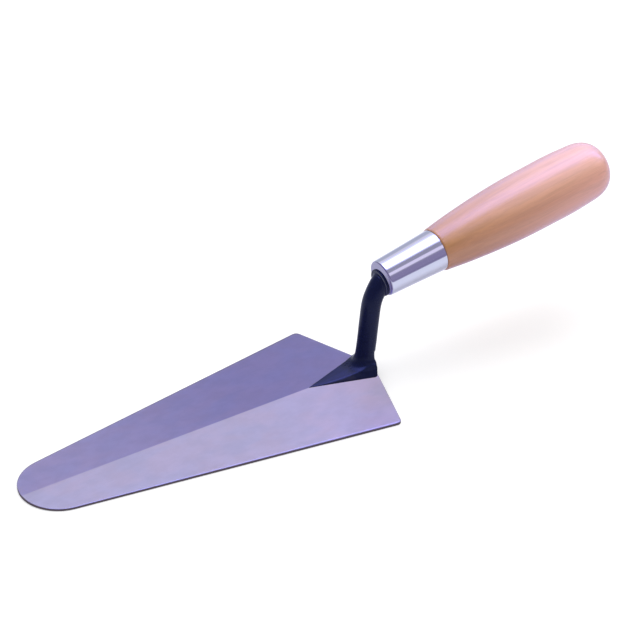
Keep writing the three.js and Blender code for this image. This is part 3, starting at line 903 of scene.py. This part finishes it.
def studio_world():
    """Even daylight for matt surfaces. Glossy ones see long lights that run parallel to the handle:
    a wide violet-white softbox overhead, a narrow strip in front of it and darker walls."""
    world = bpy.data.worlds.new("studio")
    world.use_nodes = True
    world.cycles.sampling_method = "NONE"
    bpy.context.scene.world = world
    tree = world.node_tree
    tree.nodes.clear()
    direction = tree.nodes.new("ShaderNodeTexCoord").outputs["Generated"]

    def dot(axis):
        inputs = {0: direction, 1: axis}
        node = wire(tree, "ShaderNodeVectorMath", inputs, operation="DOT_PRODUCT")
        return node.outputs["Value"]

    # Degrees round the handle's axis: 0 is straight above it, and -Y, the camera's side, is 90.
    turn = math_node(tree, "ARCTAN2", dot((0, -1, 0)), dot((-HANDLE_SIN, 0, HANDLE_COS)))
    turn = math_node(tree, "MULTIPLY", turn, 180 / math.pi)

    def window(rise_from, rise_to, fall_from, fall_to):
        """1 between two soft borders and 0 outside them."""
        rise = map_range(tree, turn, rise_from, rise_to)
        fall = map_range(tree, turn, fall_from, fall_to, 1.0, 0.0)
        return math_node(tree, "MULTIPLY", rise, fall)

    walls = mix(tree, map_range(tree, turn, -66, -50), FAR_WALL_LOW, FAR_WALL)
    walls = mix(tree, map_range(tree, turn, 15, 23), walls, NEAR_WALL)
    walls = mix(tree, map_range(tree, turn, 58, 68), walls, DARK_WALL)
    seen = mix(tree, window(40, 44, 56, 61), walls, STRIP)
    softbox = math_node(tree, "POWER", window(-48, -14, 5, 21), 1.6)
    lamp = mix(tree, softbox, (0, 0, 0), SOFTBOX)
    seen = mix(tree, 1.0, seen, lamp, "ADD")

    # The side of the nose is dark. The post mirrors it.
    noseward = map_range(tree, dot((HANDLE_COS, 0, HANDLE_SIN)), -0.12, -0.28)
    gap = math_node(tree, "MULTIPLY", noseward, window(-75, -60, 95, 115))
    seen = mix(tree, gap, seen, DARK_WALL)

    path = tree.nodes.new("ShaderNodeLightPath").outputs
    colour = mix(tree, path["Is Glossy Ray"], DAYLIGHT, seen)
    colour = mix(tree, path["Is Camera Ray"], colour, BACKGROUND)
    glow = wire(tree, "ShaderNodeBackground", {"Color": colour, "Strength": 1.0}).outputs[0]
    wire(tree, "ShaderNodeOutputWorld", {"Surface": glow})


def area_light(name, power, length, breadth):
    """An area light that the camera doesn't see."""
    data = bpy.data.lights.new(name, "AREA")
    data.shape = "RECTANGLE"
    data.size, data.size_y = length, breadth
    data.energy = power
    light = bpy.data.objects.new(name, data)
    light.visible_camera = False
    bpy.context.scene.collection.objects.link(light)
    return light


def key_light():
    """A soft light, aimed at the origin, that matt surfaces see and reflections do not."""
    light = area_light("key", KEY_POWER, KEY_SIZE, KEY_SIZE)
    light.location = KEY_PLACE
    light.rotation_euler = (-Vector(KEY_PLACE)).to_track_quat("-Z", "Y").to_euler()
    light.visible_glossy = False


def varnish_glow(piece, name, turn, breadth, power, colour):
    """A long violet softbox beside the handle, mirrored only by its varnish. It stands at this
    turn, in degrees, round the handle: 0 is straight above, the camera's side is positive."""
    light = area_light(name, power, GLOW_LENGTH, breadth)
    light.data.color = colour
    light.visible_diffuse = False
    centre = Vector(place_on_handle_axis(FERRULE_LENGTH + 50, 0, 0)) * MM
    turn = math.radians(turn)
    outward = Vector(place_on_handle_axis(GLOW_ALONG, -math.sin(turn), math.cos(turn)))
    outward = (outward - Vector(place_on_handle_axis(0, 0, 0))).normalized()
    across = outward.cross(Vector((HANDLE_COS, 0, HANDLE_SIN))).normalized()
    light.location = centre + outward
    light.rotation_euler = Matrix((across.cross(outward), across, outward)).transposed().to_euler()
    receivers = bpy.data.collections.new(name + "_receivers")
    receivers.objects.link(piece)
    light.light_linking.receiver_collection = receivers


def floor():
    """A wide pale floor. Reflections see it a little cooler. It is clear from below and to rays
    that start right above it, so that the underside of the blade is lit."""
    size = FLOOR_HALF_SIZE
    mesh = bpy.data.meshes.new("floor")
    corners = [(-size, -size, 0), (size, -size, 0), (size, size, 0), (-size, size, 0)]
    mesh.from_pydata(corners, [], [(0, 1, 2, 3)])
    piece = bpy.data.objects.new("floor", mesh)
    piece.location = (0, 0, -FLOOR_DROP * MM)
    bpy.context.scene.collection.objects.link(piece)
    material = bpy.data.materials.new("floor_pale")
    material.use_nodes = True
    tree = material.node_tree
    tree.nodes.clear()
    path = tree.nodes.new("ShaderNodeLightPath").outputs
    geometry = tree.nodes.new("ShaderNodeNewGeometry").outputs
    position = geometry["Position"]

    beyond = map_range(tree, component(tree, position, 1), *[y * MM for y in FLOOR_DARKENS_Y])
    mirrored = mix(tree, beyond, FLOOR_MIRRORED, DARK_WALL)
    colour = mix(tree, path["Is Camera Ray"], FLOOR_BOUNCE, FLOOR_ALBEDO)
    colour = mix(tree, path["Is Glossy Ray"], colour, mirrored)
    matt = wire(tree, "ShaderNodeBsdfDiffuse", {"Color": colour}).outputs[0]

    away = wire(tree, "ShaderNodeVectorMath", {0: position}, operation="LENGTH").outputs["Value"]
    lift = map_range(tree, away, *FLOOR_LIFT_GROWS, FLOOR_LIFT, FLOOR_LIFT_FAR)
    lift = math_node(tree, "MULTIPLY", path["Is Camera Ray"], lift)
    glow = wire(tree, "ShaderNodeEmission", {"Strength": lift}).outputs[0]
    pale = wire(tree, "ShaderNodeAddShader", {0: matt, 1: glow}).outputs[0]

    clear = tree.nodes.new("ShaderNodeBsdfTransparent").outputs[0]
    touching = math_node(tree, "LESS_THAN", path["Ray Length"], FLOOR_CLEARANCE * MM)
    see_through = math_node(tree, "MAXIMUM", geometry["Backfacing"], touching)
    both = wire(tree, "ShaderNodeMixShader", {0: see_through, 1: pale, 2: clear}).outputs[0]
    wire(tree, "ShaderNodeOutputMaterial", {"Surface": both})
    mesh.materials.append(material)


# ---- Assembly ------------------------------------------------------------------------------------

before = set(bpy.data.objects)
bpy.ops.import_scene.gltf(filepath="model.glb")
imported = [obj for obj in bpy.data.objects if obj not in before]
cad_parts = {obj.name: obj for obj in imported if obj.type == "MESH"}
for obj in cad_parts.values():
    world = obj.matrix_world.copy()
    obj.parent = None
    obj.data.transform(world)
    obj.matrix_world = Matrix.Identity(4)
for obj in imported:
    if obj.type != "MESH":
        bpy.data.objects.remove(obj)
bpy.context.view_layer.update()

PIECES = (
    (blade_piece, blade_steel, "blade", "blade_steel"),
    (shank_piece, black_paint, "shank", "black_paint"),
    (ferrule_piece, chrome_plate, "ferrule", "chrome_plate"),
    (handle_piece, varnished_wood, "handle", "varnished_wood"),
)

for build, finish, node, slot in PIECES:
    piece = build()
    piece.data.materials.append(finish())
    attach(piece, "root")
    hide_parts(node)
    piece.visible_glossy = node != "shank"  # its dark mirror image would streak the satin blade
    if node == "handle":
        for glow in GLOWS:
            varnish_glow(piece, *glow)

bpy.context.scene.view_settings.view_transform = "Standard"
camera()
studio_world()
key_light()
floor()
